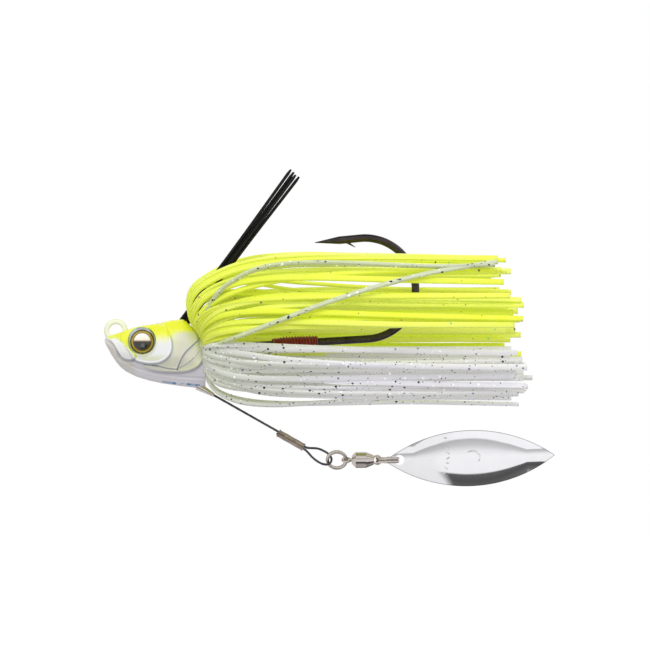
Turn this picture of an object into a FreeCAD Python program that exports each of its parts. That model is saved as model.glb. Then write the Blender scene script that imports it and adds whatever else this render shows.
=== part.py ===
"""Underspin fish-head jig: a lead fish head on a hook, with a silicone skirt, a fibre weed guard
and a willow leaf blade that turns on a swivel at the end of a short cable.

Millimetres. The origin is the centre of the line tie. +X runs from the nose to the tail, +Z is up
and the fish's left side faces -Y.
"""
import FreeCAD
import Part
import math
import os
import Sketcher
from FreeCAD import Placement, Rotation, Vector

DIMENSIONS = {
    # hook
    "wire_radius": 0.75,
    "tie_hole_radius": 1.3,
    "tie_land_length": 0.6,
    "tie_relief_radius": 1.6,
    "tie_centre_radius": 1.725,
    "tie_neck_x": 2.5,
    "shank_slope": 0.06,
    "bend_centre_x": 47.31,
    "bend_centre_z": 8.075,
    "bend_radius": 9.595,
    "spear_slope": 0.0963,
    "spear_length": 4.0,
    "point_length": 4.7,
    "point_radius": 0.05,
    "barb_offset": -1.2,
    "barb_length": 2.2,
    "barb_radius": 0.32,
    "barb_lift": 0.7,
    # head casting
    "head_tail_x": 16.9,
    "head_half_width": 3.55,
    "neck_radius": 2.3,
    "neck_length": 5.6,
    "neck_inset": 1.0,
    # eyes
    "iris_x": 5.0,
    "iris_z": -1.84,
    "iris_radius": 2.6,
    "iris_seat_y": 2.2,
    "foil_thickness": 0.12,
    "dome_height": 1.15,
    # weed guard
    "guard_base_x": 13.0,
    "guard_base_z": 1.75,
    "guard_pitch_deg": 54.5,
    "guard_hole_radius": 0.95,
    "guard_root_length": 4.0,
    "guard_gap": 0.45,
    "fibre_radius": 0.275,
    "fibre_spread": 0.34,
    # skirt
    "collar_x": 17.0,
    "collar_z": -3.36,
    "collar_radius": 3.2,
    "collar_length": 1.3,
    "collar_offset": 0.7,
    "strand_thickness": 0.5,
    # thread wrap and trailer keeper
    "thread_x": 29.8,
    "thread_length": 8.6,
    "thread_radius": 1.3,
    "thread_shoulder": 0.6,
    "keeper_radius": 0.2,
    # cable arm
    "arm_x": 18.6,
    "arm_z": -12.2,
    "arm_pitch_deg": 29.5,
    "arm_roll_deg": 25.0,
    "cable_radius": 0.225,
    "cable_root_length": 6.0,
    "cable_tail_offset": 0.5,
    "ferrule_length": 3.6,
    "ferrule_tip_radius": 0.35,
    "ferrule_root_radius": 0.8,
    "sleeve_start": 14.15,
    "sleeve_length": 5.6,
    "sleeve_edge_radius": 0.42,
    "sleeve_half_pitch": 0.33,
    # swivel
    "swivel_z": -24.5,
    "ring_x": 41.95,
    "ring_centre_radius": 1.78,
    "ring_wire_radius": 0.35,
    "ring_lean_deg": 29.0,
    "stud_eye_x": 43.75,
    "stud_eye_radius": 0.68,
    "stud_wire_radius": 0.26,
    "stud_shank_radius": 0.35,
    "stud_head_radius": 0.8,
    "stud_head_x": 45.95,
    "stud_head_length": 0.45,
    "barrel_front_x": 44.8,
    "barrel_wall_x": 45.55,
    "barrel_rear_x": 47.5,
    "barrel_radius": 1.52,
    "barrel_nose_radius": 0.78,
    "barrel_bore_radius": 0.4,
    "barrel_cavity_radius": 1.05,
    "plug_front_x": 46.9,
    "plug_rear_x": 48.94,
    "plug_rear_radius": 0.93,
    "plug_eye_x": 49.6,
    "plug_eye_radius": 0.8,
    "plug_wire_radius": 0.18,
    "ball_radius": 0.16,
    "ball_circle_radius": 0.6,
    "ball_x": 45.72,
    # split ring and blade
    "split_x": 51.6,
    "split_centre_radius": 2.0,
    "split_wire_radius": 0.28,
    "split_coil_pitch": 0.58,
    "split_step_radius": 0.252,
    "blade_x": 67.25,
    "blade_z": -24.15,
    "blade_tilt_deg": 2.06,
    "blade_side_radius": 27.3,
    "blade_half_width": 5.32,
    "blade_thickness": 0.5,
    "blade_cross_radius": 16.0,
    "blade_long_radius": 80.0,
    "blade_sweep": 1.14,
    "blade_front_radius": 1.7,
    "blade_tip_radius": 0.8,
    "blade_hole_x": 53.85,
    "blade_hole_radius": 0.95,
}

# Side outline of the head: station along X, top, bottom, and share of the greatest half width.
HEAD_STATIONS = [
    (-2.15, -1.35, -2.35, 0.20),
    (-1.2, -0.80, -4.10, 0.48),
    (0.9, -0.15, -6.95, 0.70),
    (4.0, 0.85, -8.80, 0.88),
    (8.5, 1.58, -9.90, 1.00),
    (12.6, 2.25, -10.45, 1.00),
    (14.2, 1.15, -10.65, 0.94),
    (15.7, -0.60, -10.80, 0.82),
    (16.9, -4.60, -10.45, 0.55),
]

# Each skirt panel: name, first azimuth from the top in degrees, span in degrees, and its route
# from the collar to its free end as (distance along X, distance from the axis).
SKIRT_PANELS = [
    ("top", 20, 25, [(2.4, 3.2), (-0.4, 5.2), (-2.9, 9.2), (-0.8, 13.6),
                     (7.0, 17.6), (19.0, 19.6), (36.0, 20.3), (57.0, 20.2)]),
    ("shoulder", 47, 29, [(2.4, 3.2), (1.0, 5.4), (1.6, 9.0), (7.0, 12.8),
                          (19.0, 14.8), (38.0, 15.3), (58.0, 15.2)]),
    ("side", 78, 28, [(2.4, 3.2), (2.6, 5.6), (4.6, 8.8), (10.5, 11.5),
                      (23.0, 12.9), (42.0, 13.2), (60.0, 13.1)]),
    ("flank", 108, 27, [(2.4, 3.2), (2.6, 5.6), (4.4, 8.4), (9.0, 10.4),
                        (22.0, 11.5), (42.0, 11.7), (62.0, 11.8)]),
    ("belly", 137, 25, [(2.4, 3.2), (2.2, 5.6), (3.4, 8.6), (7.2, 10.5),
                        (16.0, 11.3), (36.0, 11.1), (61.0, 11.4)]),
]

# Free ends of the four guard fibres in the XZ plane, and the side each one leans to.
GUARD_TIPS = [(33.25, 30.67, -1), (33.8, 30.2, 1), (34.1, 29.6, -1), (34.8, 29.3, 1)]

# The cable's route in the arm's plane, from its cut tail, round the loop and back to the head.
CABLE_ROUTE = [(13.9, -0.5), (20.7, -0.5), (22.3, -1.35), (24.3, -1.45), (25.6, -0.75),
               (25.6, 0.5), (24.3, 1.2), (22.3, 1.15), (20.7, 0.0), (0.05, 0.0)]

# The keeper wire beside the shank: free end, mouth of the thread, end under the thread.
KEEPER_ROUTE = [(-1.6, -2.3), (0.0, -0.95), (7.4, -0.95)]

# How much of its shorter neighbouring run each corner of a wire's route rounds off.
BEND_SHARE = 0.45
KEEPER_BEND_SHARE = 0.3

OUTLINE_POINTS = 16
OUTLINE_POWER = 0.85  # under 1 makes the head's sections fuller than an ellipse
BALL_COUNT = 6

doc = FreeCAD.newDocument("UnderspinJig")
sheet = doc.addObject("Spreadsheet::Sheet", "Dimensions")
parts = {}


def fill_sheet():
    for row, (alias, number) in enumerate(DIMENSIONS.items(), start=1):
        sheet.set(f"A{row}", alias)
        sheet.set(f"B{row}", str(number))
        sheet.setAlias(f"B{row}", alias)
    doc.recompute()


def size(alias):
    return float(sheet.get(alias))


def bind(item, **expressions):
    """Tie an object's properties to cells of the sheet."""
    for name, expression in expressions.items():
        item.setExpression(name, expression)


def keep(item, label):
    """Name an object as one of the part's own pieces."""
    item.Label = label
    parts[label] = item
    return item


def along(direction):
    return Rotation(Vector(0, 0, 1), direction)


def origin_plane(body, role):
    return [item for item in body.Origin.OriginFeatures if item.Role == role][0]


def new_body(name):
    return doc.addObject("PartDesign::Body", name)


def new_sketch(body, role, name, offset=0.0):
    sketch = body.newObject("Sketcher::SketchObject", name)
    sketch.AttachmentSupport = [(origin_plane(body, role), "")]
    sketch.MapMode = "FlatFace"
    sketch.AttachmentOffset = Placement(Vector(0, 0, offset), Rotation())
    return sketch


def polygon(sketch, points):
    corners = [Vector(x, y, 0) for x, y in points]
    for start, end in zip(corners, corners[1:] + corners[:1]):
        sketch.addGeometry(Part.LineSegment(start, end), False)


def circle(sketch, x, y, cell):
    """A circle whose radius follows a cell of the sheet."""
    index = sketch.addGeometry(Part.Circle(Vector(x, y, 0), Vector(0, 0, 1), size(cell)), False)
    constraint = sketch.addConstraint(Sketcher.Constraint("Radius", index, size(cell)))
    sketch.setExpression(f"Constraints[{constraint}]", f"Dimensions.{cell}")


def route_edges(points, share=BEND_SHARE):
    """Straight runs joined by tangent arcs through a list of corner points."""
    corners = [Vector(x, y, 0) for x, y in points]
    edges = []
    start = corners[0]
    for before, corner, after in zip(corners, corners[1:], corners[2:]):
        back = (before - corner).normalize()
        ahead = (after - corner).normalize()
        half_turn = (math.pi - back.getAngle(ahead)) / 2
        cut = share * min((before - corner).Length, (after - corner).Length)
        radius = cut / math.tan(half_turn)
        entry = corner + back * cut
        leave = corner + ahead * cut
        middle = (back + ahead).normalize()
        centre = corner + middle * (radius / math.cos(half_turn))
        top = centre - middle * radius
        edges.append(Part.LineSegment(start, entry))
        edges.append(Part.Arc(entry, top, leave))
        start = leave
    edges.append(Part.LineSegment(start, corners[-1]))
    return edges


def wire_body(name, points, cell, share=BEND_SHARE):
    """A round wire swept along a route in its own XZ plane."""
    body = new_body(name)
    spine = new_sketch(body, "XZ_Plane", name + "_spine")
    edges = route_edges(points, share)
    for edge in edges:
        spine.addGeometry(edge, False)
    doc.recompute()
    profile = body.newObject("Sketcher::SketchObject", name + "_section")
    profile.AttachmentSupport = [(spine, "Edge1")]
    profile.MapMode = "NormalToEdge"
    circle(profile, 0, 0, cell)
    doc.recompute()
    pipe = body.newObject("PartDesign::AdditivePipe", name + "_pipe")
    pipe.Profile = profile
    pipe.Spine = (spine, [f"Edge{number + 1}" for number in range(len(edges))])
    doc.recompute()
    return body


def turned_body(name, outline, angle="360"):
    """A profile of (x, radius) points turned about the body's X axis."""
    body = new_body(name)
    sketch = new_sketch(body, "XZ_Plane", name + "_profile")
    polygon(sketch, outline)
    doc.recompute()
    turn = body.newObject("PartDesign::Revolution", name + "_turn")
    turn.Profile = sketch
    turn.ReferenceAxis = (sketch, ["H_Axis"])
    turn.setExpression("Angle", angle)
    doc.recompute()
    return body


def cylinder(name, radius, height, start, direction):
    item = doc.addObject("Part::Cylinder", name)
    bind(item, Radius=radius, Height=height)
    item.Placement = Placement(start, along(direction))
    return item


def cut(name, base, *tools):
    """The base less one tool after another."""
    for number, tool in enumerate(tools):
        item = doc.addObject("Part::Cut", f"{name}_cut_{number}")
        item.Base = base
        item.Tool = tool
        base = item
    doc.recompute()
    return base


def fuse(name, *items):
    item = doc.addObject("Part::MultiFuse", name)
    item.Shapes = list(items)
    doc.recompute()
    return item


def shank_point(x):
    """A point on the shank's centre line, which is tangent to the bend."""
    lean = math.atan(size("shank_slope"))
    tangent_x = size("bend_centre_x") + size("bend_radius") * math.sin(lean)
    tangent_z = size("bend_centre_z") - size("bend_radius") * math.cos(lean)
    return Vector(x, 0, tangent_z + size("shank_slope") * (x - tangent_x))


def shank_frame(x):
    """A frame on the shank whose X axis runs along it."""
    lean = math.degrees(math.atan(size("shank_slope")))
    return Placement(shank_point(x), Rotation(Vector(0, 1, 0), -lean))


def arm_frame():
    """The cable arm's frame: X along the cable, its loop's plane rolled about the cable."""
    pitch = Rotation(Vector(0, 1, 0), size("arm_pitch_deg"))
    roll = Rotation(Vector(1, 0, 0), -size("arm_roll_deg"))
    return Placement(Vector(size("arm_x"), 0, size("arm_z")), pitch.multiply(roll))


def hook_spine():
    """Eye to shank to round bend to spear, as edges in the XZ plane."""
    radius = size("bend_radius")
    centre = Vector(size("bend_centre_x"), size("bend_centre_z"), 0)
    low = -math.pi / 2 + math.atan(size("shank_slope"))
    high = math.pi / 2 + math.atan(size("spear_slope"))
    bend = Part.ArcOfCircle(Part.Circle(centre, Vector(0, 0, 1), radius), low, high)
    eye_to_neck = Vector(size("tie_neck_x"), 0, 0)
    eye_to_neck.y = shank_point(size("tie_neck_x")).z
    start = Vector(eye_to_neck).normalize() * size("tie_centre_radius")
    first, corner, shank = route_edges(
        [(start.x, start.y), (eye_to_neck.x, eye_to_neck.y), (bend.StartPoint.x, bend.StartPoint.y)])
    run = Vector(math.cos(high + math.pi / 2), math.sin(high + math.pi / 2), 0)
    spear = Part.LineSegment(bend.EndPoint, bend.EndPoint + run * size("spear_length"))
    return [first, corner, shank, bend, spear], run


def make_hook():
    body = new_body("hook_wire")
    spine = new_sketch(body, "XZ_Plane", "hook_spine")
    edges, run = hook_spine()
    for edge in edges:
        spine.addGeometry(edge, False)
    doc.recompute()
    profile = body.newObject("Sketcher::SketchObject", "hook_section")
    profile.AttachmentSupport = [(spine, "Edge1")]
    profile.MapMode = "NormalToEdge"
    circle(profile, 0, 0, "wire_radius")
    doc.recompute()
    pipe = body.newObject("PartDesign::AdditivePipe", "hook_pipe")
    pipe.Profile = profile
    pipe.Spine = (spine, [f"Edge{number + 1}" for number in range(len(edges))])
    doc.recompute()

    spear_end = edges[-1].EndPoint
    spear_end = Vector(spear_end.x, 0, spear_end.y)
    heading = Vector(run.x, 0, run.y)
    point = doc.addObject("Part::Cone", "hook_point")
    bind(point, Radius1="Dimensions.wire_radius", Radius2="Dimensions.point_radius",
         Height="Dimensions.point_length")
    point.Placement = Placement(spear_end, along(heading))

    barb_base = spear_end + heading * size("barb_offset") - Vector(0, 0, size("barb_radius"))
    barb_heading = Vector(-heading.x, 0, -heading.z - size("barb_lift"))
    barb = doc.addObject("Part::Cone", "hook_barb")
    bind(barb, Radius1="Dimensions.barb_radius", Radius2="Dimensions.point_radius",
         Height="Dimensions.barb_length")
    barb.Placement = Placement(barb_base, along(barb_heading))

    eye = doc.addObject("Part::Torus", "hook_eye")
    bind(eye, Radius1="Dimensions.tie_centre_radius",
         Radius2="sqrt((Dimensions.tie_centre_radius - Dimensions.tie_hole_radius)^2"
                 " + Dimensions.tie_land_length^2 / 4)")
    eye.Placement = Placement(Vector(), along(Vector(0, 1, 0)))
    whole = fuse("hook_whole", body, point, barb, eye)
    land = cylinder("tie_land", "Dimensions.tie_hole_radius", "Dimensions.tie_centre_radius * 2",
                    Vector(0, -size("tie_centre_radius"), 0), Vector(0, 1, 0))
    keep(cut("hook_land", whole, land), "hook")


def head_section(body, number, station):
    x, top, bottom, share = station
    sketch = new_sketch(body, "YZ_Plane", f"head_section_{number}", x)
    middle = (top + bottom) / 2
    half_height = (top - bottom) / 2
    half_width = share * size("head_half_width")
    points = []
    for step in range(OUTLINE_POINTS):
        turn = 2 * math.pi * step / OUTLINE_POINTS
        side = math.copysign(abs(math.cos(turn)) ** OUTLINE_POWER, math.cos(turn))
        points.append(Vector(half_width * side, middle + half_height * math.sin(turn), 0))
    curve = Part.BSplineCurve()
    curve.interpolate(Points=points, PeriodicFlag=True)
    sketch.addGeometry(curve, False)
    return sketch


def make_head():
    body = new_body("head_form")
    sections = [head_section(body, number, station) for number, station in enumerate(HEAD_STATIONS)]
    doc.recompute()
    loft = body.newObject("PartDesign::AdditiveLoft", "head_loft")
    loft.Profile = sections[0]
    loft.Sections = sections[1:]
    loft.Ruled = True
    doc.recompute()
    frame = shank_frame(size("head_tail_x") - size("neck_inset"))
    neck = cylinder("head_neck", "Dimensions.neck_radius", "Dimensions.neck_length",
                    frame.Base, frame.Rotation.multVec(Vector(1, 0, 0)))
    whole = fuse("head_whole", body, neck)

    relief = cylinder("tie_relief", "Dimensions.tie_relief_radius",
                      "Dimensions.head_half_width * 2", Vector(0, -size("head_half_width"), 0),
                      Vector(0, 1, 0))
    tools = [parts["hook"], parts["arm_ferrule"], parts["cable_root"], parts["guard_root"], relief]
    for side in (-1, 1):
        start = Vector(size("iris_x"), side * size("iris_seat_y"), size("iris_z"))
        tools.append(cylinder("eye_socket", "Dimensions.iris_radius", "Dimensions.head_half_width",
                              start, Vector(0, side, 0)))
    keep(cut("head_casting", whole, *tools), "head_casting")


def make_eyes():
    """A foil disc and a clear dome on each side of the head."""
    for name, side in (("left", -1), ("right", 1)):
        outward = Vector(0, side, 0)
        seat = Vector(size("iris_x"), side * size("iris_seat_y"), size("iris_z"))
        foil = cylinder(name + "_foil", "Dimensions.iris_radius", "Dimensions.foil_thickness",
                        seat, outward)
        keep(foil, name + "_eye_foil")
        radius, height = size("iris_radius"), size("dome_height")
        base = seat + outward * size("foil_thickness")
        ball_radius = (radius ** 2 + height ** 2) / (2 * height)
        ball = doc.addObject("Part::Sphere", name + "_ball")
        bind(ball, Radius="(Dimensions.iris_radius^2 + Dimensions.dome_height^2)"
                          " / (2 * Dimensions.dome_height)")
        ball.Placement = Placement(base + outward * (height - ball_radius), along(outward))
        stock = cylinder(name + "_stock", "Dimensions.iris_radius", "Dimensions.dome_height",
                         base, outward)
        dome = doc.addObject("Part::Common", name + "_dome")
        dome.Base = ball
        dome.Tool = stock
        doc.recompute()
        keep(dome, name + "_eye_lens")


def make_guard():
    """Four straight fibres, and the butt that is set in the head."""
    pitch = math.radians(size("guard_pitch_deg"))
    heading = Vector(math.cos(pitch), 0, math.sin(pitch))
    across = Vector(math.sin(pitch), 0, -math.cos(pitch))
    base = Vector(size("guard_base_x"), 0, size("guard_base_z"))
    root = cylinder("guard_butt", "Dimensions.guard_hole_radius", "Dimensions.guard_root_length",
                    base - heading * size("guard_root_length"), heading)
    keep(root, "guard_root")
    spread = size("fibre_spread")
    for number, (tip_x, tip_z, lean) in enumerate(GUARD_TIPS):
        row = -1 if number < len(GUARD_TIPS) / 2 else 1
        start = base + heading * size("guard_gap") + across * (row * spread)
        start.y = lean * spread
        tip = Vector(tip_x, lean * spread * 2, tip_z)
        fibre = doc.addObject("Part::Cylinder", f"fibre_{number + 1}")
        bind(fibre, Radius="Dimensions.fibre_radius")
        fibre.Height = (tip - start).Length
        fibre.Placement = Placement(start, along(tip - start))
        keep(fibre, f"weed_guard_fibre_{number + 1}")


def panel_outline(route):
    """The route and a copy of it one strand's thickness further in."""
    outer = [Vector(x, r, 0) for x, r in route]
    inner = []
    for number, point in enumerate(outer):
        before = outer[max(number - 1, 0)]
        after = outer[min(number + 1, len(outer) - 1)]
        heading = (after - before).normalize()
        inner.append(point + Vector(heading.y, -heading.x, 0) * size("strand_thickness"))
    return outer, inner


def skirt_panel(name, start, span, route):
    """One panel of strands: its route turned through its span about the collar's axis."""
    body = new_body(name)
    sketch = new_sketch(body, "XZ_Plane", name + "_profile")
    outer, inner = panel_outline(route)
    for points in (outer, inner):
        curve = Part.BSplineCurve()
        curve.interpolate(points)
        sketch.addGeometry(curve, False)
    sketch.addGeometry(Part.LineSegment(outer[0], inner[0]), False)
    sketch.addGeometry(Part.LineSegment(outer[-1], inner[-1]), False)
    doc.recompute()
    turn = body.newObject("PartDesign::Revolution", name + "_turn")
    turn.Profile = sketch
    turn.ReferenceAxis = (sketch, ["H_Axis"])
    turn.Angle = span
    doc.recompute()
    centre = Vector(size("collar_x"), 0, size("collar_z"))
    body.Placement = Placement(centre, Rotation(Vector(1, 0, 0), start))
    keep(body, name)


def make_skirt():
    for name, start, span, route in SKIRT_PANELS:
        skirt_panel("skirt_left_" + name, start, span, route)
        skirt_panel("skirt_right_" + name, -start - span, span, route)
    inner, outer = size("neck_radius"), size("collar_radius")
    band = turned_body("collar_band", [(0, inner), (0, outer), (size("collar_length"), outer),
                                       (size("collar_length"), inner)])
    band.Placement = shank_frame(size("collar_x") + size("collar_offset"))
    keep(band, "skirt_collar")


def make_thread_and_keeper():
    keeper = wire_body("keeper_wire", KEEPER_ROUTE, "keeper_radius", share=KEEPER_BEND_SHARE)
    keeper.Placement = shank_frame(size("thread_x"))
    keep(keeper, "trailer_keeper")
    inner, outer = size("wire_radius"), size("thread_radius")
    length, shoulder = size("thread_length"), size("thread_shoulder")
    shoulder_radius = (inner + outer) / 2
    wrap = turned_body("thread_turns", [(0, inner), (0, shoulder_radius), (shoulder, outer),
                                        (length - shoulder, outer), (length, shoulder_radius),
                                        (length, inner)])
    wrap.Placement = shank_frame(size("thread_x"))
    keep(cut("thread", wrap, keeper), "thread_wrap")


def make_arm():
    """The cable with its loop, its root in the head, the ferrule and the crimp sleeve."""
    frame = arm_frame()
    cable = wire_body("cable_wire", CABLE_ROUTE, "cable_radius")
    cable.Placement = frame
    keep(cable, "arm_cable")

    back = frame.Rotation.multVec(Vector(-1, 0, 0))
    root = cylinder("cable_end", "Dimensions.cable_radius", "Dimensions.cable_root_length",
                    frame.Base, back)
    keep(root, "cable_root")
    shell = doc.addObject("Part::Cone", "ferrule_shell")
    bind(shell, Radius1="Dimensions.ferrule_tip_radius", Radius2="Dimensions.ferrule_root_radius",
         Height="Dimensions.ferrule_length")
    shell.Placement = Placement(frame.Base, along(back))
    keep(cut("ferrule", shell, root), "arm_ferrule")

    body = new_body("sleeve")
    sketch = new_sketch(body, "YZ_Plane", "sleeve_section", size("sleeve_start"))
    edge, pitch = size("sleeve_edge_radius"), size("sleeve_half_pitch")
    middle = -size("cable_tail_offset") / 2
    for sign in (-1, 1):
        ring = Part.Circle(Vector(0, middle + sign * pitch, 0), Vector(0, 0, 1), edge)
        first = 0 if sign > 0 else math.pi
        sketch.addGeometry(Part.ArcOfCircle(ring, first, first + math.pi), False)
        sketch.addGeometry(Part.LineSegment(Vector(sign * edge, middle - pitch, 0),
                                            Vector(sign * edge, middle + pitch, 0)), False)
    for offset in (0, -size("cable_tail_offset")):
        circle(sketch, 0, offset, "cable_radius")
    doc.recompute()
    pad = body.newObject("PartDesign::Pad", "sleeve_pad")
    pad.Profile = sketch
    bind(pad, Length="Dimensions.sleeve_length")
    doc.recompute()
    body.Placement = frame
    keep(body, "crimp_sleeve")


def torus(name, ring_cell, wire_cell, centre, axis):
    item = doc.addObject("Part::Torus", name)
    bind(item, Radius1="Dimensions." + ring_cell, Radius2="Dimensions." + wire_cell)
    item.Placement = Placement(centre, along(axis))
    return item


def make_swivel():
    level = size("swivel_z")
    lean = math.radians(size("ring_lean_deg"))
    ring_axis = Vector(0, math.cos(lean), math.sin(lean))
    ring_side = Vector(0, -math.sin(lean), math.cos(lean))
    keep(torus("front_ring", "ring_centre_radius", "ring_wire_radius",
               Vector(size("ring_x"), 0, level), ring_axis), "swivel_front_ring")

    stud_eye = torus("stud_eye", "stud_eye_radius", "stud_wire_radius",
                     Vector(size("stud_eye_x"), 0, level), ring_side)
    shank_start = size("stud_eye_x") + size("stud_eye_radius")
    head_start = size("stud_head_x")
    shank = cylinder("stud_shank", "Dimensions.stud_shank_radius",
                     "Dimensions.stud_head_x - Dimensions.stud_eye_x - Dimensions.stud_eye_radius",
                     Vector(shank_start, 0, level), Vector(1, 0, 0))
    stud_head = cylinder("stud_head", "Dimensions.stud_head_radius", "Dimensions.stud_head_length",
                         Vector(head_start, 0, level), Vector(1, 0, 0))
    keep(fuse("stud", stud_eye, shank, stud_head), "swivel_stud")

    level_frame = Placement(Vector(0, 0, level), Rotation())
    bore, cavity = size("barrel_bore_radius"), size("barrel_cavity_radius")
    front, wall, rear = size("barrel_front_x"), size("barrel_wall_x"), size("barrel_rear_x")
    outer, nose = size("barrel_radius"), size("barrel_nose_radius")
    shell = turned_body("barrel_shell", [(front, bore), (front, nose), (front + outer - nose, outer),
                                         (rear, outer), (rear, cavity), (wall, cavity), (wall, bore)])
    shell.Placement = level_frame
    keep(shell, "swivel_barrel")

    plug = turned_body("plug_turning", [(size("plug_front_x"), 0), (size("plug_front_x"), cavity),
                                        (rear, cavity), (rear, outer),
                                        (size("plug_rear_x"), size("plug_rear_radius")),
                                        (size("plug_rear_x"), 0)])
    plug.Placement = level_frame
    plug_eye = torus("plug_eye", "plug_eye_radius", "plug_wire_radius",
                     Vector(size("plug_eye_x"), 0, level), Vector(0, 1, 0))
    hole = cylinder("plug_eye_hole", "Dimensions.plug_eye_radius - Dimensions.plug_wire_radius",
                    "Dimensions.plug_eye_radius * 4",
                    Vector(size("plug_eye_x"), -2 * size("plug_eye_radius"), level), Vector(0, 1, 0))
    keep(cut("plug", fuse("plug_whole", plug, plug_eye), hole), "swivel_plug")

    balls = []
    for number in range(BALL_COUNT):
        turn = 2 * math.pi * number / BALL_COUNT
        ball = doc.addObject("Part::Sphere", "bearing_ball")
        bind(ball, Radius="Dimensions.ball_radius")
        circle_radius = size("ball_circle_radius")
        ball.Placement = Placement(Vector(size("ball_x"), circle_radius * math.cos(turn),
                                          level + circle_radius * math.sin(turn)), Rotation())
        balls.append(ball)
    keep(fuse("balls", *balls), "bearing_balls")


def make_split_ring():
    """Two flat coils lying on each other, joined where the wire passes from one to the other."""
    level = size("swivel_z")
    pitch = size("split_coil_pitch")
    coils = []
    for number, sign in enumerate((-1, 1)):
        centre = Vector(size("split_x"), 0, level + sign * pitch / 2)
        coils.append(torus(f"coil_{number}", "split_centre_radius", "split_wire_radius",
                           centre, Vector(0, 0, 1)))
    step = cylinder("coil_step", "Dimensions.split_step_radius", "Dimensions.split_coil_pitch",
                    Vector(size("split_x"), size("split_centre_radius"), level - pitch / 2),
                    Vector(0, 0, 1))
    keep(fuse("split_coils", *coils, step), "split_ring")


def make_blade():
    """A willow leaf: two arcs with rounded ends, dished to a shell that is bowed both ways."""
    body = new_body("blade_leaf")
    sketch = new_sketch(body, "XZ_Plane", "leaf_outline")
    side_radius, half_width = size("blade_side_radius"), size("blade_half_width")
    depth = side_radius - half_width
    half_angle = math.acos(depth / side_radius)
    for sign in (-1, 1):
        arc = Part.Circle(Vector(0, -sign * depth, 0), Vector(0, 0, 1), side_radius)
        middle = sign * math.pi / 2
        sketch.addGeometry(Part.ArcOfCircle(arc, middle - half_angle, middle + half_angle), False)
    doc.recompute()
    pad = body.newObject("PartDesign::Pad", "leaf_pad")
    pad.Profile = sketch
    pad.Midplane = True
    bind(pad, Length="Dimensions.blade_half_width * 2")
    doc.recompute()
    for end, cell in ((-1, "blade_front_radius"), (1, "blade_tip_radius")):
        corner = []
        for number, edge in enumerate(body.Shape.Edges, start=1):
            box = edge.BoundBox
            upright = max(box.XLength, box.ZLength) < size("blade_thickness") / 10
            if upright and box.XMin * end > 0:
                corner.append(f"Edge{number}")
        rounding = body.newObject("PartDesign::Fillet", "leaf_end_" + cell)
        rounding.Base = (body.Tip if body.Tip != rounding else pad, corner)
        bind(rounding, Radius="Dimensions." + cell)
        doc.recompute()
    tilt = Rotation(Vector(0, 1, 0), -size("blade_tilt_deg"))
    apex = Vector(size("blade_x"), -size("blade_sweep"), size("blade_z"))
    body.Placement = Placement(apex, tilt)

    shells = []
    for number, inset in enumerate(("0", "Dimensions.blade_thickness")):
        bowl = doc.addObject("Part::Torus", f"blade_bowl_{number}")
        bind(bowl, Radius1="Dimensions.blade_long_radius - Dimensions.blade_cross_radius",
             Radius2=f"Dimensions.blade_cross_radius - {inset}")
        centre = apex + Vector(0, size("blade_long_radius"), 0)
        bowl.Placement = Placement(centre, tilt)
        shells.append(bowl)
    bowl = cut("blade_bowl", *shells)
    leaf = doc.addObject("Part::Common", "blade_leaf_bowl")
    leaf.Base = body
    leaf.Tool = bowl
    doc.recompute()
    hole = cylinder("blade_hole", "Dimensions.blade_hole_radius", "Dimensions.blade_half_width * 2",
                    Vector(size("blade_hole_x"), -half_width, size("swivel_z")), Vector(0, 1, 0))
    keep(cut("blade_drilled", leaf, hole), "blade")


def check_and_export():
    for item in doc.Objects:
        if "Invalid" in item.State or "Error" in item.State:
            raise RuntimeError(f"{item.Label} failed: {item.State}")
    os.makedirs("parts", exist_ok=True)
    for label, item in parts.items():
        shape = item.Shape
        if shape.isNull() or not shape.isValid():
            raise RuntimeError(f"{label} has no valid shape")
        shape.exportStep(f"parts/{label}.step")
        print(f"{label:24s} solids {len(shape.Solids)} volume {shape.Volume:9.3f}")


fill_sheet()
make_hook()
make_eyes()
make_guard()
make_arm()
make_head()
make_skirt()
make_thread_and_keeper()
make_swivel()
make_split_ring()
make_blade()
check_and_export()
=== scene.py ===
"""Looks of the underspin fish-head jig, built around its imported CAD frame.

Lengths are in millimetres until they reach a mesh or a light, and MM turns them into metres.
"""
import math
import random

import bpy
import numpy as np
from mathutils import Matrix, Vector


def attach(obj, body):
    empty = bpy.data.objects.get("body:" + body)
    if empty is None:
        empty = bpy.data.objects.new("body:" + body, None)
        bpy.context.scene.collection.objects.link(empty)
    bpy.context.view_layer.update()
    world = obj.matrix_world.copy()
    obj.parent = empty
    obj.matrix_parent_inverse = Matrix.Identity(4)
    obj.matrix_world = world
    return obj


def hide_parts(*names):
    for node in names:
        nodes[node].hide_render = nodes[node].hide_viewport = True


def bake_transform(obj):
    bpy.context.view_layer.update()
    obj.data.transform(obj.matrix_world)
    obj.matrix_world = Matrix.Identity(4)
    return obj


MM = 0.001
LEFT, RIGHT = -1, 1

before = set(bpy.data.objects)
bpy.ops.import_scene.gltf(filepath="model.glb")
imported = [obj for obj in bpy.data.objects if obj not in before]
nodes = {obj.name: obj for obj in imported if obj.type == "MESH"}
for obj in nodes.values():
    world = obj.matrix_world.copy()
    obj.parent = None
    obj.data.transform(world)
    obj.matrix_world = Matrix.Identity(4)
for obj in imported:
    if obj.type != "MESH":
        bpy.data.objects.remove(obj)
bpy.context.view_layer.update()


# ------------------------------ meshes

def mesh_object(name, points, faces, smooth=True):
    """A mesh from points in millimetres."""
    mesh = bpy.data.meshes.new(name)
    mesh.from_pydata([tuple(p) for p in np.asarray(points, float) * MM], [], faces)
    mesh.validate()
    mesh.update()
    mesh.polygons.foreach_set("use_smooth", [smooth] * len(mesh.polygons))
    item = bpy.data.objects.new(name, mesh)
    bpy.context.scene.collection.objects.link(item)
    return item


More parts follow.
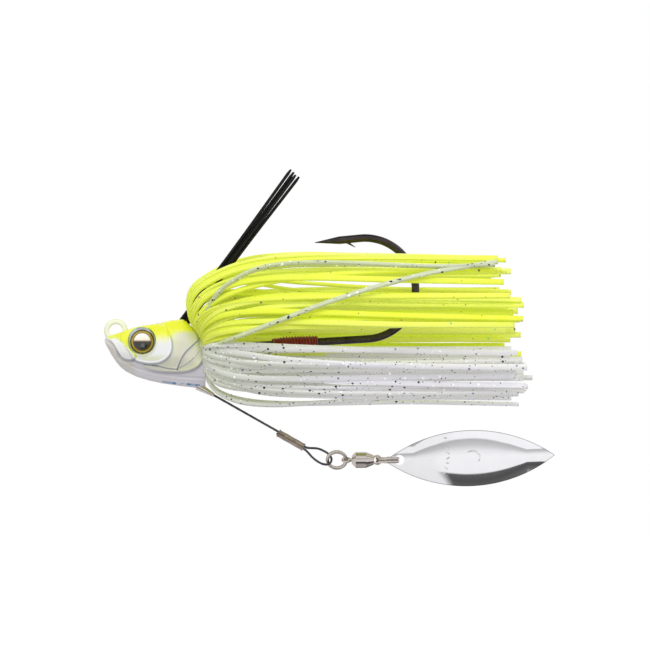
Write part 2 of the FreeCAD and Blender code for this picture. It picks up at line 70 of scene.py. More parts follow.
def store(item, name, kind, values):
    """Keeps one value or vector per vertex for the materials to read."""
    attribute = item.data.attributes.new(name, kind, "POINT")
    field = {"FLOAT": "value", "FLOAT_VECTOR": "vector", "FLOAT_COLOR": "color"}[kind]
    attribute.data.foreach_set(field, np.asarray(values, np.float32).ravel())


def smooth_path(points, count):
    """A Catmull-Rom curve through the points, sampled evenly by arc length."""
    p = np.asarray(points, float)
    p = np.vstack([2 * p[0] - p[1], p, 2 * p[-1] - p[-2]])
    pieces = []
    for i in range(1, len(p) - 2):
        t = np.linspace(0, 1, 24, endpoint=False)[:, None]
        a, b, c, d = p[i - 1], p[i], p[i + 1], p[i + 2]
        pieces.append(0.5 * (2 * b + (c - a) * t + (2 * a - 5 * b + 4 * c - d) * t ** 2
                             + (3 * b - a - 3 * c + d) * t ** 3))
    pieces.append(p[-2][None])
    fine = np.vstack(pieces)
    reach = np.r_[0, np.cumsum(np.linalg.norm(np.diff(fine, axis=0), axis=1))]
    where = np.linspace(0, reach[-1], count)
    return np.stack([np.interp(where, reach, fine[:, k]) for k in range(3)], 1)


def path_frames(path, first_normal):
    """Tangents, normals and binormals that don't twist along the path."""
    tangents = np.gradient(path, axis=0)
    tangents /= np.linalg.norm(tangents, axis=1)[:, None]
    normal = np.asarray(first_normal, float)
    normals = []
    for tangent in tangents:
        normal = normal - tangent * (normal @ tangent)
        normal = normal / np.linalg.norm(normal)
        normals.append(normal)
    normals = np.array(normals)
    return tangents, normals, np.cross(tangents, normals)


def tube_faces(rings, size):
    """Quads along a row of closed rings of points, with a cap at each end."""
    faces = []
    last = (rings - 1) * size
    for start in range(0, last, size):
        for j in range(size):
            a, b = start + j, start + (j + 1) % size
            faces.append((a, b, b + size, a + size))
    faces.append(tuple(reversed(range(size))))
    faces.append(tuple(range(last, last + size)))
    return faces


def sweep(path, section, first_normal=(0, 0, 1)):
    """Points and faces of a closed section swept along a path. section(k, n) gives its (a, b)."""
    path = np.asarray(path, float)
    _, normals, sides = path_frames(path, first_normal)
    rings = []
    for k in range(len(path)):
        ab = np.asarray(section(k, len(path)))
        rings.append(path[k] + ab[:, :1] * normals[k] + ab[:, 1:] * sides[k])
    return np.vstack(rings), tube_faces(len(rings), len(rings[0]))


def merge(parts):
    """Several (points, faces) pairs as one."""
    points, faces, offset = [], [], 0
    for part_points, part_faces in parts:
        points.append(part_points)
        faces += [tuple(v + offset for v in face) for face in part_faces]
        offset += len(part_points)
    return np.vstack(points), faces


def circle_section(radius, count=12):
    """A round section. Its radius is a number, or a function of the share of the path."""
    turns = np.linspace(0, 2 * math.pi, count, endpoint=False)
    ring = np.stack([np.cos(turns), np.sin(turns)], 1)
    return lambda k, n: ring * (radius(k / (n - 1)) if callable(radius) else radius)


def smooth_step(low, high, x):
    """Eases from 0 at low to 1 at high."""
    t = np.clip((np.asarray(x, float) - low) / (high - low), 0, 1)
    return t * t * (3 - 2 * t)


def bell(value, middle, width):
    """1 where the value is at the middle, falling away over the width."""
    return np.exp(-((value - middle) / width) ** 2)


# ------------------------------ materials

def linear(red, green, blue):
    """Screen colour from 0 to 255 as the scene's linear colour."""
    def channel(value):
        value = value / 255
        return value / 12.92 if value <= 0.04045 else ((value + 0.055) / 1.055) ** 2.4
    return (channel(red), channel(green), channel(blue), 1.0)


def grey(value):
    """Linear grey as a colour."""
    return (value, value, value, 1.0)


class Tree:
    """Short names for the nodes that the world and the materials share."""

    def __init__(self, tree):
        self.tree = tree

    def add(self, kind, **settings):
        node = self.tree.nodes.new(kind)
        for name, value in settings.items():
            setattr(node, name, value)
        return node

    def link(self, start, end):
        self.tree.links.new(start, end)

    def feed(self, value, socket):
        """Links another node's output to the socket, or sets it to a plain value."""
        if isinstance(value, bpy.types.NodeSocket):
            self.link(value, socket)
        else:
            socket.default_value = value

    def axes(self, where):
        """The X, Y and Z of a vector."""
        node = self.add("ShaderNodeSeparateXYZ")
        self.link(where, node.inputs[0])
        return node.outputs

    def ramp(self, value, *stops):
        node = self.add("ShaderNodeValToRGB")
        self.link(value, node.inputs["Fac"])
        bar = node.color_ramp.elements
        while len(bar) < len(stops):
            bar.new(0.5)
        for element, (position, colour) in zip(bar, stops):
            element.position = position
            element.color = colour
        return node.outputs["Color"]

    def remap(self, value, low, high, to_low, to_high):
        node = self.add("ShaderNodeMapRange")
        self.link(value, node.inputs["Value"])
        for name, number in (("From Min", low), ("From Max", high),
                             ("To Min", to_low), ("To Max", to_high)):
            node.inputs[name].default_value = number
        return node.outputs["Result"]

    def mix(self, share, first, second, blend="MIX"):
        node = self.add("ShaderNodeMix", data_type="RGBA", blend_type=blend)
        self.feed(share, node.inputs[0])
        self.feed(first, node.inputs[6])
        self.feed(second, node.inputs[7])
        return node.outputs[2]

    def math(self, operation, first, second=0.0):
        node = self.add("ShaderNodeMath", operation=operation)
        self.feed(first, node.inputs[0])
        self.feed(second, node.inputs[1])
        return node.outputs[0]

    def times(self, first, second):
        return self.math("MULTIPLY", first, second)


class Nodes(Tree):
    """A new material, its shader and the textures that vary it."""

    def __init__(self, name):
        self.material = bpy.data.materials.new(name)
        self.material.use_nodes = True
        super().__init__(self.material.node_tree)
        self.shader = self.tree.nodes["Principled BSDF"]

    def set(self, **sockets):
        """Feeds the shader's inputs, whose names are written with underscores for spaces."""
        for name, value in sockets.items():
            self.feed(value, self.shader.inputs[name.replace("_", " ")])

    def place(self):
        """Where a point of a rigid piece is."""
        return self.add("ShaderNodeTexCoord").outputs["Object"]

    def stored(self, name, output="Vector"):
        """What the mesh keeps at each of its points under that name."""
        return self.add("ShaderNodeAttribute", attribute_name=name).outputs[output]

    def noise(self, where, scale, detail=3.0):
        node = self.add("ShaderNodeTexNoise")
        node.inputs["Scale"].default_value = scale
        node.inputs["Detail"].default_value = detail
        self.link(where, node.inputs["Vector"])
        return node.outputs["Fac"]

    def varied(self, where, scale, low, high, detail=3.0):
        """A value that wanders between low and high over the piece."""
        return self.remap(self.noise(where, scale, detail), 0.3, 0.7, low, high)

    def cells(self, where, scale):
        node = self.add("ShaderNodeTexVoronoi")
        node.inputs["Scale"].default_value = scale
        self.link(where, node.inputs["Vector"])
        return node.outputs

    def bump(self, height, distance, strength=1.0):
        node = self.add("ShaderNodeBump")
        node.inputs["Distance"].default_value = distance
        node.inputs["Strength"].default_value = strength
        self.link(height, node.inputs["Height"])
        self.link(node.outputs["Normal"], self.shader.inputs["Normal"])


def metal(name, dark, bright, roughness, scratch=0.05, grain=900.0):
    """Plated metal whose tone and polish vary a little, with fine scratches."""
    m = Nodes(name)
    where = m.place()
    m.set(Metallic=1.0, Base_Color=m.mix(m.noise(where, grain), dark, bright),
          Roughness=m.varied(where, grain * 2.3, roughness * 0.6, roughness * 1.5, 5.0))
    m.bump(m.noise(where, grain * 6, 6.0), 0.00001, scratch)
    return m.material


BLADE_MIDDLE = (67.25, -24.15)
BLADE_TILT = math.radians(2.06)
# The leaf's two edges are arcs of this radius, whose centres lie this far off its middle line.
EDGE_RADIUS, EDGE_OFFSET = 27.3, 21.98
DISH_DEPTH, DISH_CURVE, DISH_MIN_HALF = 0.88, 28.3, 3.1


def blade_material():
    """Polished nickel, dished so that its reflections follow the leaf's outline."""
    m = Nodes("blade_nickel")
    where = m.place()
    axes = m.axes(where)
    x = m.math("SUBTRACT", m.times(axes["X"], 1 / MM), BLADE_MIDDLE[0])
    z = m.math("SUBTRACT", m.times(axes["Z"], 1 / MM), BLADE_MIDDLE[1])
    level, rise = math.cos(BLADE_TILT), math.sin(BLADE_TILT)
    along = m.math("ADD", m.times(x, level), m.times(z, rise))
    across = m.math("SUBTRACT", m.times(z, level), m.times(x, rise))
    squared = m.times(across, across)

    chord = m.math("SUBTRACT", EDGE_RADIUS ** 2, m.times(along, along))
    half = m.math("SUBTRACT", m.math("SQRT", m.math("MAXIMUM", chord, 1.0)), EDGE_OFFSET)
    margin = m.math("SUBTRACT", half, m.math("ABSOLUTE", across))
    rim = m.remap(margin, 0.05, 0.20, 0.75, 0.0)
    half = m.math("MAXIMUM", half, DISH_MIN_HALF)
    dish = m.math("SUBTRACT", m.math("DIVIDE", squared, m.times(half, half)),
                  m.times(squared, 1 / DISH_CURVE))
    m.bump(m.times(dish, -DISH_DEPTH * MM), 1.0)

    polish = m.mix(m.noise(where, 500.0), linear(240, 239, 243), linear(250, 249, 252))
    m.set(Metallic=1.0, Base_Color=m.mix(rim, polish, linear(104, 98, 98)),
          Roughness=m.varied(where, 1400.0, 0.03, 0.08, 5.0))
    return m.material


def head_paint_material():
    """Pearl paint with fine flakes under a clear coat, over colours kept in the mesh."""
    m = Nodes("pearl_paint")
    where = m.place()
    sparkle = m.remap(m.cells(where, 5200.0)["Distance"], 0.0, 0.5, 1.0, 0.0)
    colour = m.mix(m.times(sparkle, 0.10), m.stored("paint", "Color"), grey(1.0))
    cloud = m.varied(where, 500.0, 0.0, 0.05)
    m.set(Base_Color=m.mix(cloud, colour, linear(190, 190, 196)),
          Roughness=m.varied(where, 1500.0, 0.30, 0.42),
          Coat_Weight=0.8, Coat_Roughness=0.06, Specular_IOR_Level=0.45)
    m.bump(m.noise(where, 1800.0, 4.0), 0.00003, 0.12)
    return m.material


def radius_from(m, where, x, z):
    """Distance in millimetres from a line along Y through (x, z)."""
    axes = m.axes(where)
    dx = m.math("SUBTRACT", axes["X"], x * MM)
    dz = m.math("SUBTRACT", axes["Z"], z * MM)
    squares = m.math("ADD", m.times(dx, dx), m.times(dz, dz))
    return m.times(m.math("SQRT", squares), 1 / MM)


IRIS_SCALE = 3.0


def iris_material(x, z):
    """Gold foil under clear epoxy: a black pupil whose upper half carries a painted reflection of
    a soft box, with a faint painted highlight below it, and a silver rim.
    """
    m = Nodes("gold_foil")
    where = m.place()
    height = m.axes(where)["Z"]
    radius = m.math("DIVIDE", radius_from(m, where, x, z), IRIS_SCALE)
    colour = m.ramp(radius, (0.0, linear(14, 11, 10)), (0.55, linear(18, 13, 9)),
                    (0.585, linear(150, 118, 24)), (0.63, linear(222, 192, 62)),
                    (0.69, linear(150, 122, 22)), (0.73, linear(34, 30, 10)),
                    (0.755, linear(60, 64, 60)), (0.785, linear(196, 206, 204)),
                    (0.86, linear(176, 190, 196)))
    ray = m.noise(where, 2600.0, 6.0)
    colour = m.mix(m.remap(ray, 0.35, 0.65, 0.0, 0.22), colour, linear(60, 48, 12))

    pupil = m.remap(radius, 0.50, 0.57, 1.0, 0.0)
    # painted highlight: a faint pale spot low in the pupil, in place of a lamp mirrored in the
    # epoxy
    spot = m.remap(radius_from(m, where, x + 0.1, z - 0.75), 0.1, 0.55, 0.16, 0.0)
    colour = m.mix(m.times(spot, pupil), colour, grey(1.0))
    # painted reflection: the pupil's upper half turns cream, standing in for a soft box mirrored
    # in the epoxy
    upper = m.remap(height, (z - 0.05) * MM, (z + 0.30) * MM, 0.0, 1.0)
    painted_reflection = m.ramp(m.remap(height, z * MM, (z + 1.7) * MM, 0.0, 1.0),
                   (0.0, linear(158, 124, 70)), (0.25, linear(246, 238, 220)),
                   (1.0, linear(252, 248, 240)))
    m.set(Base_Color=m.mix(m.times(upper, pupil), colour, painted_reflection),
          Metallic=m.ramp(radius, (0.0, grey(0.0)), (0.55, grey(0.0)), (0.6, grey(0.75)),
                          (0.72, grey(0.75)), (0.76, grey(0.3))),
          Roughness=m.remap(ray, 0.3, 0.7, 0.22, 0.4), Coat_Weight=1.0, Coat_Roughness=0.02)
    return m.material


PAINT_END_X = 4.65


def hook_material():
    """Black nickel, with the head's paint over the line tie and its neck."""
    m = Nodes("black_nickel")
    where = m.place()
    painted = m.remap(m.axes(where)["X"], (PAINT_END_X - 0.15) * MM, (PAINT_END_X + 0.15) * MM,
                      1.0, 0.0)
    facing = m.add("ShaderNodeLayerWeight")
    facing.inputs["Blend"].default_value = 0.35
    paint = m.mix(m.remap(facing.outputs["Facing"], 0.12, 0.5, 0.0, 1.0),
                  linear(236, 238, 216), linear(208, 220, 96))
    steel = m.mix(m.noise(where, 700.0), linear(38, 33, 30), linear(84, 76, 74))
    m.set(Base_Color=m.mix(painted, steel, paint), Metallic=m.math("SUBTRACT", 1.0, painted),
          Roughness=m.varied(where, 2400.0, 0.16, 0.30, 5.0),
          Coat_Weight=0.3, Coat_Roughness=0.08)
    m.bump(m.noise(where, 5200.0, 5.0), 0.00001, 0.08)
    return m.material


def guard_material():
    """Dull black nylon."""
    m = Nodes("guard_nylon")
    where = m.stored("rest")
    m.set(Base_Color=m.mix(m.noise(where, 900.0), linear(5, 5, 4), linear(15, 15, 17)),
          Roughness=m.varied(where, 800.0, 0.40, 0.5), Specular_IOR_Level=0.3)
    return m.material


# Two sizes of flake: cells per metre, and a flake's share of its cell.
FLAKE_SIZES = [(760.0, 0.20), (1350.0, 0.19)]


def silicone_material(name, pale, deep, root, flake, painted_glow, flake_density):
    """Soft silicone with flakes in it. Its faint glow is painted light, an emission standing in
    for the light that comes through it.
    """
    m = Nodes(name)
    where = m.stored("rest")
    streak = m.times(m.noise(where, 330.0, 2.0), 0.35)
    depth = m.math("ADD", m.times(m.stored("tone", "Fac"), 0.7), streak)
    # painted shade: near the collar the strands turn to the darker root colour, where they crowd
    # under the head
    root_shade = m.remap(m.axes(where)["X"], 0.018, 0.045, 0.6, 0.0)
    colour = m.mix(root_shade, m.mix(depth, pale, deep), root)
    for scale, size in FLAKE_SIZES:
        cells = m.cells(where, scale)
        spot = m.remap(cells["Distance"], size - 0.03, size, 1.0, 0.0)
        pick = m.add("ShaderNodeSeparateColor")
        m.link(cells["Color"], pick.inputs[0])
        chosen = m.math("LESS_THAN", pick.outputs["Red"], flake_density)
        colour = m.mix(m.times(spot, chosen), colour, m.ramp(pick.outputs["Green"], *flake))
    # painted light: the emission also lifts the shade between the strands
    m.set(Base_Color=colour, Emission_Color=colour, Emission_Strength=painted_glow,
          Roughness=m.varied(where, 1400.0, 0.22, 0.36),
          Subsurface_Weight=0.3, Subsurface_Scale=0.0012, Subsurface_Radius=(1.0, 1.0, 0.6),
          Specular_IOR_Level=0.35, IOR=1.41)
    m.bump(m.noise(where, 700.0, 2.0), 0.00004, 0.15)
    return m.material


def thread_material():
    """Red thread under a thin varnish."""
    m = Nodes("red_thread")
    where = m.place()
    m.set(Base_Color=m.mix(m.noise(where, 1600.0), linear(78, 10, 8), linear(170, 34, 22)),
          Roughness=m.varied(where, 3000.0, 0.25, 0.5), Coat_Weight=0.6, Coat_Roughness=0.15)
    m.bump(m.noise(where, 6000.0, 4.0), 0.00003, 0.4)
    return m.material


def cable_material():
    """Dark coated cable."""
    m = Nodes("cable_coat")
    where = m.stored("rest")
    m.set(Base_Color=m.mix(m.noise(where, 1100.0), linear(26, 25, 32), linear(74, 72, 84)),
          Roughness=m.varied(where, 2600.0, 0.25, 0.42), Metallic=0.35,
          Coat_Weight=0.4, Coat_Roughness=0.1)
    return m.material


def rubber_material():
    """Black rubber band."""
    m = Nodes("band_rubber")
    where = m.place()
    m.set(Base_Color=m.mix(m.noise(where, 900.0), linear(18, 18, 18), linear(44, 44, 42)),
          Roughness=m.varied(where, 2000.0, 0.5, 0.7))
    m.bump(m.noise(where, 3000.0), 0.00002, 0.3)
    return m.material


# ------------------------------ head

# Upper and lower edge of the head seen from the side, as (x, z).
TOP_EDGE = [(-2.15, -1.75), (-2.0, -1.2), (-1.5, -0.88), (-0.7, -0.72), (1.13, -0.12), (2.3, 0.33),
            (4.3, 0.9), (6.4, 1.25), (8.4, 1.55), (10.2, 2.0), (10.75, 2.14), (11.1, 2.04),
            (12.0, 2.24), (12.8, 2.24), (13.5, 1.78), (14.4, 0.82), (15.45, -0.35), (16.0, -1.55),
            (16.5, -2.8), (16.9, -4.3), (17.0, -5.2)]
LOW_EDGE = [(-2.15, -1.95), (-2.0, -2.4), (-1.5, -3.4), (-0.87, -4.55), (0.1, -6.0), (0.84, -6.84),
            (1.9, -7.7), (3.9, -8.7), (6.2, -9.4), (8.6, -9.93), (12.2, -10.45), (15.7, -10.85),
            (16.6, -10.8), (17.0, -10.6)]
HALF_WIDTH = [(-2.15, 0.35), (-1.9, 0.85), (-1.2, 1.5), (0.0, 2.1), (1.5, 2.55), (4.0, 3.05),
              (6.5, 3.35), (9.0, 3.5), (12.0, 3.5), (14.0, 3.3), (15.5, 3.0), (16.5, 2.7),
              (17.0, 2.4)]

# The cheek plate's edge, the gill plate's edge and the jaw panel, each a closed loop.
CHEEK = [(2.2, 0.9), (9.25, 1.5), (9.9, 0.2), (10.35, -0.9), (10.68, -2.1), (10.75, -3.3),
         (10.45, -4.4), (9.65, -5.3), (8.45, -5.95), (6.9, -6.15), (5.3, -5.95), (4.0, -5.65),
         (3.3, -5.0), (2.2, -3.2), (0.6, -1.2)]
GILL = [(8.8, 2.6), (13.6, 2.6), (15.5, -0.45), (16.05, -1.6), (16.85, -3.9), (16.85, -4.85),
        (16.1, -6.4), (14.8, -7.25), (13.2, -7.72), (10.8, -7.8), (8.45, -7.65), (6.2, -7.2),
        (5.2, -6.6), (5.0, -6.2), (7.0, -4.0)]
JAW_PANEL = [(-1.2, -1.5), (0.3, -1.2), (3.55, -4.35), (3.85, -4.85), (3.5, -5.3), (2.9, -5.45),
             (1.9, -5.3), (1.1, -4.85), (0.3, -3.4), (-0.5, -2.15)]

# Sharp creases, each with its half width and depth.
CREASES = [
    ([(5.3, -6.33), (6.9, -6.48), (8.45, -6.72), (10.0, -7.18), (11.3, -7.26), (11.7, -7.3)],
     0.11, 0.2),
    ([(11.75, -7.3), (12.1, -6.4), (12.85, -4.7), (14.0, -3.4), (15.7, -1.85)], 0.12, 0.22),
    ([(11.8, -7.25), (13.2, -6.55), (14.3, -5.8), (14.9, -5.15)], 0.10, 0.13),
    ([(15.2, -5.0), (16.1, -3.7)], 0.10, 0.08),
    ([(-1.9, -1.75), (-0.6, -2.5), (0.3, -4.2), (1.0, -5.5), (2.4, -5.95), (3.6, -5.65)],
     0.22, 0.28),
    ([(2.3, -6.2), (4.4, -7.25), (7.0, -7.95), (9.2, -8.3), (12.4, -8.75), (16.8, -9.0)],
     0.20, 0.12),
]
IRIS = (5.06, -1.83)
SOCKET_RADIUS = 2.62
SEAT_Y = 2.2

# Generic dashes low on the keel: start, end, half width and strength.
KEEL_DASHES = [
    ((9.0, -9.62), (10.7, -9.85), 0.17, 0.55), ((10.9, -9.88), (11.3, -9.94), 0.17, 1.0),
    ((12.2, -10.1), (13.0, -9.9), 0.05, 0.6), ((13.6, -10.08), (14.1, -10.14), 0.17, 1.0),
    ((14.3, -10.16), (15.1, -10.24), 0.17, 0.55), ((15.3, -10.27), (15.8, -10.33), 0.17, 1.0),
]


def along_edge(points, x):
    """A smooth curve through (x, value) points."""
    xs, values = np.array(points).T
    fine = np.linspace(xs[0], xs[-1], 400)
    curve = np.interp(fine, xs, values)
    kernel = np.hanning(9)
    padded = np.pad(curve, 4, mode="reflect", reflect_type="odd")
    return np.interp(x, fine, np.convolve(padded, kernel / kernel.sum(), "valid"))


def distance_to(line, x, z, closed=False):
    """Distance of many points to a line of points."""
    line = np.array(line, float)
    ends = np.roll(line, -1, 0) if closed else line[1:]
    nearest = np.full(np.shape(x), 1e9)
    for (ax, az), (bx, bz) in zip(line[: len(ends)], ends):
        dx, dz = bx - ax, bz - az
        t = np.clip(((x - ax) * dx + (z - az) * dz) / (dx * dx + dz * dz), 0, 1)
        nearest = np.minimum(nearest, np.hypot(x - ax - t * dx, z - az - t * dz))
    return nearest


def rounded(loop, closed=True, passes=3):
    """The loop with its corners cut, so that its edge runs smoothly."""
    line = np.array(loop, float)
    for _ in range(passes):
        after = np.roll(line, -1, 0) if closed else line[1:]
        start = line if closed else line[:-1]
        cut = np.stack([0.75 * start + 0.25 * after, 0.25 * start + 0.75 * after], 1)
        cut = cut.reshape(-1, 2)
        line = cut if closed else np.vstack([line[:1], cut, line[-1:]])
    return line


def inside(loop, x, z):
    """Positive inside the loop: the distance to its edge, negative outside."""
    line = rounded(loop)
    ends = np.roll(line, -1, 0)
    crossings = np.zeros(np.shape(x), int)
    for (ax, az), (bx, bz) in zip(line, ends):
        if az == bz:
            continue
        between = (az > z) != (bz > z)
        crossings += between & (x < (bx - ax) * (z - az) / (bz - az) + ax)
    edge = distance_to(line, x, z, closed=True)
    return np.where(crossings % 2 == 1, edge, -edge)


def head_width(x, z, top, low, half_width):
    """Half width of the head at a point of its side view, with the cast relief."""
    height = np.clip((z - low) / (top - low), 0, 1)
    crown = np.clip(1 - np.abs(2 * height - 1) ** 2.5, 0, 1) ** 0.47
    belly = 0.52 + 0.48 * smooth_step(0.02, 0.5, height)
    shoulder = 1 - 0.16 * smooth_step(0.62, 1.0, height)
    width = half_width * crown * belly * shoulder
    fade = smooth_step(0.0, 0.25, crown)

    cheek, gill, jaw = (inside(loop, x, z) for loop in (CHEEK, GILL, JAW_PANEL))
    plate = smooth_step(-0.12, 0.10, cheek)
    relief = 0.42 * np.maximum(smooth_step(-0.16, 0.12, gill), plate * smooth_step(3.0, 8.5, x))
    relief += 0.36 * plate
    relief += 0.12 * bell(cheek, 0.16, 0.14) * smooth_step(3.0, 5.0, x)
    relief += 0.36 * smooth_step(-0.12, 0.14, jaw)
    relief += 0.07 * bell(gill, 0.18, 0.15) * (1 - plate)
    lip = rounded([(-2.05, -2.1), (-1.4, -3.3), (-0.4, -4.9), (0.5, -5.9)], False)
    relief += 0.16 * bell(distance_to(lip, x, z), 0, 0.28)
    for line, half, depth in CREASES:
        gap = distance_to(rounded(line, False), x, z)
        relief -= depth * bell(gap, 0, half)
        relief += 0.4 * depth * bell(gap, 2 * half, half)
    ridge = smooth_step(-0.75, -0.4, z - top) * smooth_step(5.0, 7.0, x) * (x < 11.0)
    width = width + relief * fade + 0.10 * ridge

    away = np.hypot(x - IRIS[0], z - IRIS[1])
    width += 0.16 * bell(away, SOCKET_RADIUS + 0.2, 0.18) * fade
    seat = smooth_step(SOCKET_RADIUS + 0.06, SOCKET_RADIUS - 0.02, away)
    return width * (1 - seat) + np.minimum(width, SEAT_Y) * seat


def head_paint(x, z):
    """Yellow over the back, pearl on the cheeks, grey under the belly, with painted shade in the
    creases and painted shade and highlights along the plates' edges.
    """
    cheek, gill, jaw = (inside(loop, x, z) for loop in (CHEEK, GILL, JAW_PANEL))
    off_cheek, off_gill = smooth_step(0.1, -0.1, cheek), smooth_step(0.12, -0.12, gill)
    lower_rear = np.clip(smooth_step(9.0, 9.8, x) + smooth_step(-4.6, -5.4, z), 0, 1)
    fade_line = np.interp(x, [-2, 0.3, 2.6, 4.5, 8.0, 10.0, 11.2, 13.0, 16],
                          [-1.35, -1.3, -3.2, -3.1, -2.5, -2.4, -0.9, -0.55, -0.6])
    soft = np.interp(x, [-2, 2.4, 4.0, 9.5, 11.5, 16], [0.5, 0.7, 2.6, 2.6, 1.3, 1.0])
    nose = rounded([(-1.2, -1.35), (0.35, -1.1), (2.1, -2.75), (3.7, -4.4), (3.95, -5.0)], False)
    socket = np.abs(np.hypot(x - IRIS[0], z - IRIS[1]) - SOCKET_RADIUS - 0.1)
    layers = [
        # pearl and shadow of the gill plate, the keel and the cheek
        ((226, 232, 160), smooth_step(-5.0, -1.0, z) * smooth_step(12.6, 10.5, x) * 0.8),
        ((222, 226, 176), 0.6 * bell(gill, 0.5, 0.5) * smooth_step(8.0, 13.0, x)),
        ((212, 209, 215), off_gill * off_cheek),
        ((232, 233, 234), smooth_step(-0.1, 0.05, cheek)),
        ((226, 232, 180), 0.75 * bell(z, -5.3, 0.6) * smooth_step(0.3, 0.7, cheek)
         * smooth_step(4.0, 6.0, x)),
        # the jaw
        ((206, 202, 196), smooth_step(0.1, -0.1, jaw) * smooth_step(4.2, 3.0, x)
         * smooth_step(-1.5, -2.2, z)),
        ((228, 228, 226), smooth_step(-0.1, 0.1, jaw)),
        # light and shade along the plates' edges
        ((150, 158, 182), 0.75 * bell(cheek, -0.20, 0.17) * lower_rear
         * smooth_step(0.6, -1.0, z)),
        ((250, 250, 250), bell(cheek, 0.14, 0.12) * lower_rear * smooth_step(1.4, 0.4, z)),
        ((142, 142, 162), 0.65 * bell(gill, -0.22, 0.22) * smooth_step(-4.5, -5.5, z)
         * smooth_step(5, 8, x)),
        ((130, 138, 160), 0.7 * bell(jaw, -0.18, 0.16) * smooth_step(-3.2, -4.0, z)),
        # the yellow back, the line down the nose and the eye socket's lower edge
        ((228, 232, 6), smooth_step(0, 1, (z - fade_line) / soft + 0.15)),
        ((222, 232, 40), bell(distance_to(nose, x, z), 0, 0.2)),
        ((206, 216, 90), 0.8 * bell(socket, 0, 0.14) * smooth_step(-1.0, -3.5, z)),
    ]
    # painted shade: blue-grey darkening along the first four creases, where shade falls in them
    for line, half, depth in CREASES[:4]:
        gap = distance_to(rounded(line, False), x, z)
        layers.append(((132, 142, 168), min(1.0, depth * 4.5) * bell(gap, 0, half)))
    # painted shade: a short dark blue-grey line in the corner under the cheek plate's lower edge
    corner_shade = distance_to([(7.0, -6.45), (8.1, -6.6)], x, z)
    layers.append(((96, 98, 120), 0.7 * bell(corner_shade, 0, 0.16)))
    for start, end, half, strength in KEEL_DASHES:
        gap = distance_to([start, end], x, z)
        layers.append(((62, 124, 176), strength * smooth_step(half + 0.06, half, gap)))

    colour = np.ones(x.shape + (3,)) * np.array(linear(212, 211, 192)[:3])
    for tint, share in layers:
        share = np.clip(share, 0, 1)[..., None]
        colour = colour * (1 - share) + np.array(linear(*tint)[:3]) * share
    return colour


def make_head():
    """The cast head, as rings round it from the nose to its flat rear face."""
    stations, around = 250, 300
    share = np.linspace(0, 1, stations)
    x = TOP_EDGE[0][0] + 19.15 * (share - 0.04 * np.sin(2 * math.pi * share))
    turn = np.linspace(0, 2 * math.pi, around, endpoint=False)[None]
    xs, top, low, half_width = (np.repeat(row[:, None], around, 1) for row in (
        x, along_edge(TOP_EDGE, x), along_edge(LOW_EDGE, x), along_edge(HALF_WIDTH, x)))
    zs = (top + low) / 2 + (top - low) / 2 * np.sin(turn)
    ys = np.sign(np.cos(turn)) * head_width(xs, zs, top, low, half_width)
    points = np.stack([xs, ys, zs], -1).reshape(-1, 3)
    colours = head_paint(xs, zs).reshape(-1, 3)
    head = mesh_object("head_shell", points, tube_faces(stations, around))
    store(head, "paint", "FLOAT_COLOR", np.c_[colours, np.ones(len(colours))])
    head.data.materials.append(head_paint_material())
    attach(head, "head")
    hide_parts("head_casting")


def make_neck():
    """The stem behind the head that the collar grips."""
    start, end = np.array([15.6, 0, -3.44]), np.array([21.4, 0, -3.09])
    path = start + (end - start) * np.linspace(0, 1, 26)[:, None]

    def radius(t):
        return 2.3 - 0.35 * math.exp(-((t - 0.5) / 0.16) ** 2) - 1.0 * max(0.0, t - 0.85) / 0.15
    points, faces = sweep(path, circle_section(radius, 40))
    neck = mesh_object("head_neck", points, faces)
    store(neck, "paint", "FLOAT_COLOR", np.tile(linear(206, 208, 190), (len(points), 1)))
    neck.data.materials.append(bpy.data.materials["pearl_paint"])
    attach(neck, "head")


# ------------------------------ skirt

COLLAR = np.array([17.0, 0.0, -3.36])

# Routes of a strand at set azimuths from the top: (along X, from the axis).
ROUTES = {
    8: [(-0.2, 2.4), (-2.4, 4.7), (-3.4, 8.8), (-1.4, 13.2), (6.5, 17.5), (18.5, 19.3), (36, 19.4),
        (57, 19.1)],
    20: [(-0.2, 2.4), (-2.3, 4.8), (-3.1, 8.8), (-0.8, 13.2), (7, 17.4), (19, 19.4), (36, 19.7),
         (57, 19.4)],
    45: [(-0.2, 2.4), (-1.3, 4.8), (-1.4, 8.0), (2, 12.2), (9, 15.6), (20, 17.3), (37, 17.8),
         (57.5, 17.6)],
    62: [(-0.2, 2.4), (-0.4, 4.6), (1.0, 7.8), (4.5, 11.1), (11, 13.6), (22, 15.0), (38, 15.4),
         (58, 15.3)],
    90: [(-0.2, 2.4), (0.1, 4.4), (2.4, 7.2), (7, 9.7), (13, 11.5), (24, 12.7), (40, 13.1),
         (59, 13.0)],
    120: [(-0.2, 2.4), (0.0, 4.4), (2.4, 7.3), (6.6, 9.2), (12, 10.5), (24, 11.3), (41, 11.6),
          (61, 11.6)],
    165: [(-0.1, 2.4), (-0.2, 4.6), (1.7, 8.0), (6.0, 10.2), (13, 11.3), (24, 11.3), (40, 10.9),
          (61, 11.1)],
}

# Two pearl strands that lie over the yellow ones, for the left side.
CROSSING_PATHS = [
    [(17.0, -2.6, -2.8), (16.6, -4.8, 0.0), (17.6, -7.6, 4.0), (21.0, -9.8, 8.4),
     (28.0, -11.3, 11.9), (39.0, -12.0, 12.8), (60.0, -11.7, 12.1), (71.5, -11.2, 12.4)],
    [(17.0, -2.7, -3.2), (17.8, -4.6, -3.1), (20.0, -8.2, -2.2), (24.5, -11.6, -0.6),
     (31.0, -13.6, 1.9), (40.0, -14.2, 5.3), (50.0, -14.0, 8.5), (60.0, -12.6, 11.0),
     (72.0, -10.6, 13.0)],
]
STRAND_WIDTH, CROSSING_WIDTH, STRAND_DEPTH = 1.05, 0.85, 0.62
STRAND_CORNER = 0.30
SWAY_DEG, WAVE = 5.0, 0.9


